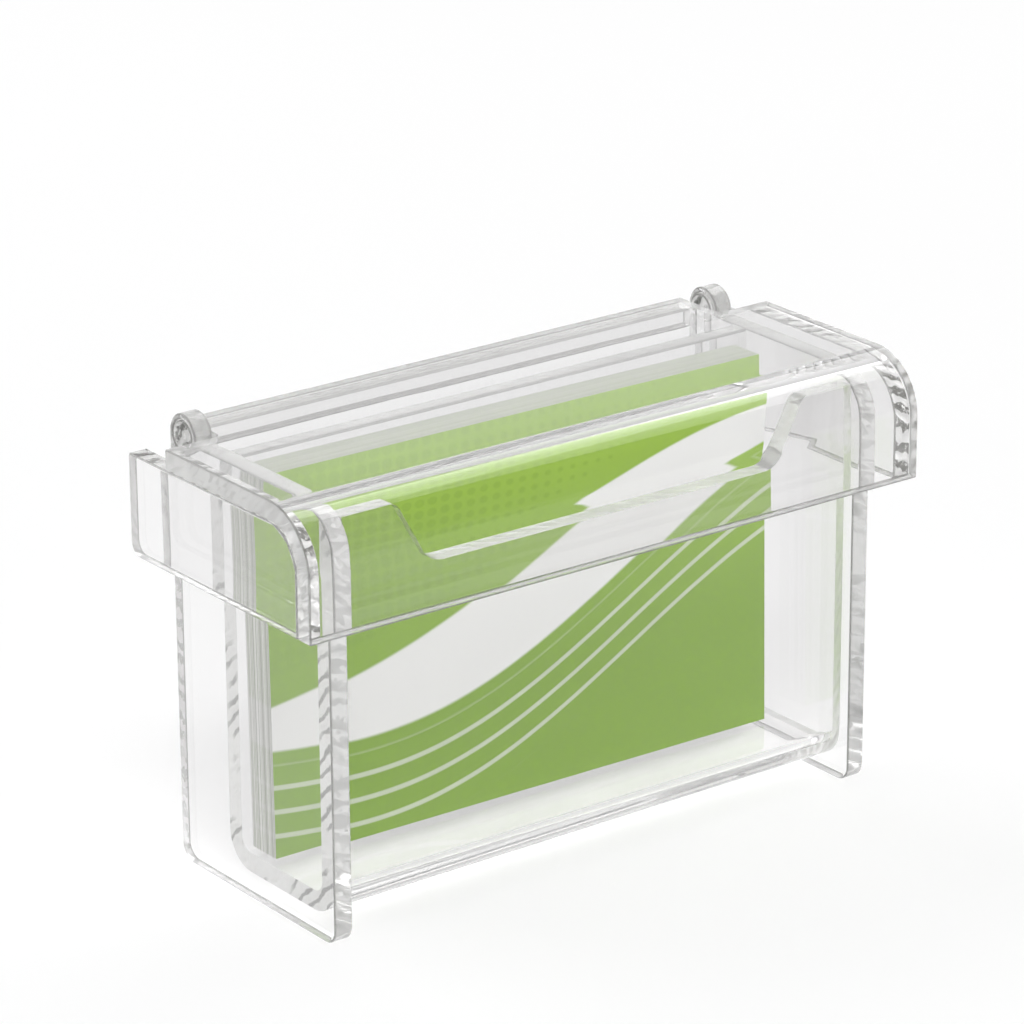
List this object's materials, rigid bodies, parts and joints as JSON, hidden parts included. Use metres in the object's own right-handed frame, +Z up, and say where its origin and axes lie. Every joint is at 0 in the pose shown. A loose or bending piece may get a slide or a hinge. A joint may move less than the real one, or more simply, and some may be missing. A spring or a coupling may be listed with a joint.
{
  "type": "business card holder",
  "caption": "Clear acrylic box for business cards: a bent U tray with a finger notch between two side plates, under a hinged lid with a bent apron and end plates.",
  "frame": {"origin": "under the middle of the closed holder, on the surface that it stands on", "axes": "+X along the tray to the right as seen from the front, +Y to the hinge side at the rear, +Z up"},
  "size_m": [0.1076, 0.0442, 0.0685],
  "materials": {
    "clear_acrylic": "polished",
    "card_print": "satin",
    "card_stock": "satin"
  },
  "bodies": {
    "root": {"side_plate_left": "clear_acrylic", "side_plate_right": "clear_acrylic", "card_tray": "clear_acrylic", "business_card_01": "card_print", "business_card_02": "card_stock", "business_card_03": "card_stock", "business_card_04": "card_stock", "business_card_05": "card_stock", "business_card_06": "card_stock", "business_card_07": "card_stock", "business_card_08": "card_stock", "business_card_09": "card_stock", "business_card_10": "card_stock", "business_card_11": "card_stock", "business_card_12": "card_stock", "business_card_13": "card_stock", "business_card_14": "card_stock", "business_card_15": "card_stock", "business_card_16": "card_stock"},
    "lid": {"lid_sheet": "clear_acrylic", "lid_rear_strip": "clear_acrylic", "lid_end_left": "clear_acrylic", "lid_end_right": "clear_acrylic", "hinge_stud_left": "clear_acrylic", "hinge_stud_right": "clear_acrylic"}
  },
  "joints": [
    {"name": "lid_hinge", "type": "hinge", "parent": "root", "child": "lid", "pos_m": [0, 0.017, 0.0653], "axis": [-1, 0, 0], "range_deg": [0, 210]}
  ]
}
